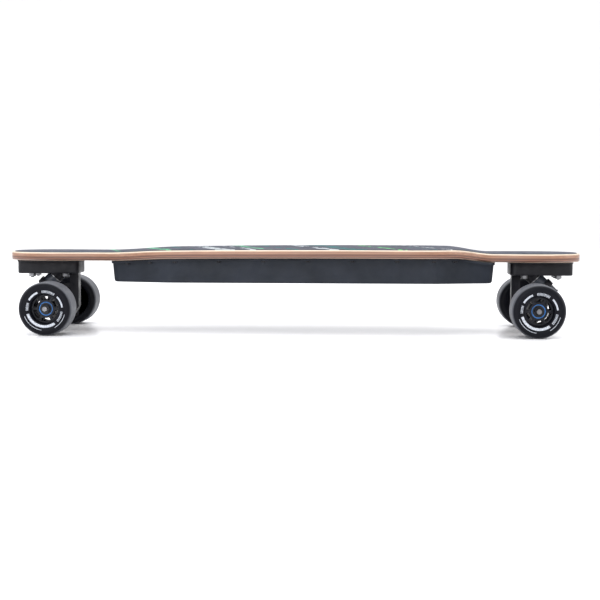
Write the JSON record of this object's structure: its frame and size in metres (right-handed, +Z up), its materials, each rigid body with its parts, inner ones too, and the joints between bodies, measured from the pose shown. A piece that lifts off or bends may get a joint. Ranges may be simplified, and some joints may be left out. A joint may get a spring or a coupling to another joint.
{
  "type": "electric skateboard",
  "caption": "Electric longboard with a laminated drop-tipped deck, flush battery enclosure, reverse-kingpin steering trucks, free wheels and a hub motor.",
  "frame": {"origin": "on the ground under the middle of the deck", "axes": "+X is the riding direction (nose), +Y the rider's left, +Z up"},
  "size_m": [0.915, 0.258, 0.1348],
  "materials": {
    "deck_wood": "clear satin lacquer on maple and bamboo plies",
    "grip": "fine gritty grip sheet",
    "black_cast": "black powder coat",
    "steel": "zinc-plated steel",
    "black_steel": "black oxide",
    "bushing_urethane": "satin urethane",
    "cup_urethane": "satin urethane",
    "tyre_urethane": "satin black urethane",
    "core_plastic": "moulded nylon",
    "bearing_blue": "steel with blue shields",
    "enclosure_plastic": "satin moulded shell",
    "gasket_rubber": "closed-cell foam",
    "foam": "open-cell foam",
    "cell_wrap": "heat-shrink sleeve",
    "holder_plastic": "moulded ABS",
    "nickel": "nickel strip",
    "board_green": "solder-masked board",
    "component_black": "moulded epoxy",
    "capacitor_sleeve": "printed sleeve",
    "aluminium": "anodised",
    "button_plastic": "satin button",
    "copper": "enamelled copper wire",
    "stator_steel": "laminated steel",
    "magnet": "nickel-plated magnet"
  },
  "bodies": {
    "board": {"battery_board": "board_green", "battery_cells": "cell_wrap", "bushing_washers": "steel", "button_switch": "component_black", "capacitors": "capacitor_sleeve", "cell_holders": "holder_plastic", "charge_socket": "component_black", "controller_board": "board_green", "deck": "deck_wood", "enclosure_gasket": "gasket_rubber", "enclosure_screws": "black_steel", "enclosure_shell": "enclosure_plastic", "foam_pads": "foam", "front_baseplate": "black_cast", "grip_tape": "grip", "heatsink": "aluminium", "kingpin_nuts": "steel", "kingpins": "steel", "motor_cable_gland": "component_black", "nickel_strips": "nickel", "pivot_cups": "cup_urethane", "power_button_bezel": "aluminium", "rear_baseplate": "black_cast", "receiver": "board_green", "riser_pads": "gasket_rubber", "transistors": "component_black", "truck_bolts": "black_steel", "truck_nuts": "steel"},
    "front_truck": {"front_hanger": "black_cast", "front_axle": "steel", "front_axle_nuts": "black_steel", "front_axle_sleeves": "steel", "front_bushings": "bushing_urethane"},
    "rear_truck": {"rear_hanger": "black_cast", "rear_axle": "steel", "rear_axle_nuts": "black_steel", "rear_axle_sleeves": "steel", "rear_bushings": "bushing_urethane", "motor_shaft": "steel", "motor_stator": "stator_steel", "motor_windings": "copper", "motor_bearing_sleeves": "steel"},
    "front_left_wheel": {"front_left_tyre": "tyre_urethane", "front_left_core": "core_plastic", "front_left_bearings": "bearing_blue"},
    "front_right_wheel": {"front_right_tyre": "tyre_urethane", "front_right_core": "core_plastic", "front_right_bearings": "bearing_blue"},
    "rear_right_wheel": {"rear_right_tyre": "tyre_urethane", "rear_right_core": "core_plastic", "rear_right_bearings": "bearing_blue"},
    "motor_wheel": {"motor_tyre": "tyre_urethane", "motor_shell": "aluminium", "motor_magnets": "magnet", "motor_inner_cover": "black_cast", "motor_outer_cover": "black_cast", "motor_cover_screws": "steel", "motor_bearings": "bearing_blue"},
    "power_button": {"power_button": "button_plastic"},
    "charge_cap": {"charge_cap": "cup_urethane"}
  },
  "joints": [
    {"name": "front_truck_steer", "type": "hinge", "parent": "board", "child": "front_truck", "pos_m": [0.37696, 0, 0.04504], "axis": [0.7071, 0, 0.7071], "range_deg": [-18, 18], "stiffness_Nm_per_rad": 40, "deforming": ["front_bushings"]},
    {"name": "rear_truck_steer", "type": "hinge", "parent": "board", "child": "rear_truck", "pos_m": [-0.37696, 0, 0.04504], "axis": [-0.7071, 0, 0.7071], "range_deg": [-18, 18], "stiffness_Nm_per_rad": 40, "deforming": ["rear_bushings"]},
    {"name": "front_left_wheel_spin", "type": "hinge", "parent": "front_truck", "child": "front_left_wheel", "pos_m": [0.3805, 0.103, 0.0415], "axis": [0, 1, 0], "continuous": true},
    {"name": "front_right_wheel_spin", "type": "hinge", "parent": "front_truck", "child": "front_right_wheel", "pos_m": [0.3805, -0.103, 0.0415], "axis": [0, 1, 0], "continuous": true},
    {"name": "rear_right_wheel_spin", "type": "hinge", "parent": "rear_truck", "child": "rear_right_wheel", "pos_m": [-0.3805, -0.103, 0.0415], "axis": [0, 1, 0], "continuous": true},
    {"name": "motor_wheel_spin", "type": "hinge", "parent": "rear_truck", "child": "motor_wheel", "pos_m": [-0.3805, 0.103, 0.0415], "axis": [0, 1, 0], "continuous": true},
    {"name": "power_button_press", "type": "slide", "parent": "board", "child": "power_button", "axis": [0, -1, 0], "range_m": [0, 0.0012], "stiffness_N_per_m": 500},
    {"name": "charge_cap_flip", "type": "hinge", "parent": "board", "child": "charge_cap", "pos_m": [0.13, 0.073, 0.1115], "axis": [1, 0, 0], "range_deg": [0, 100]}
  ]
}
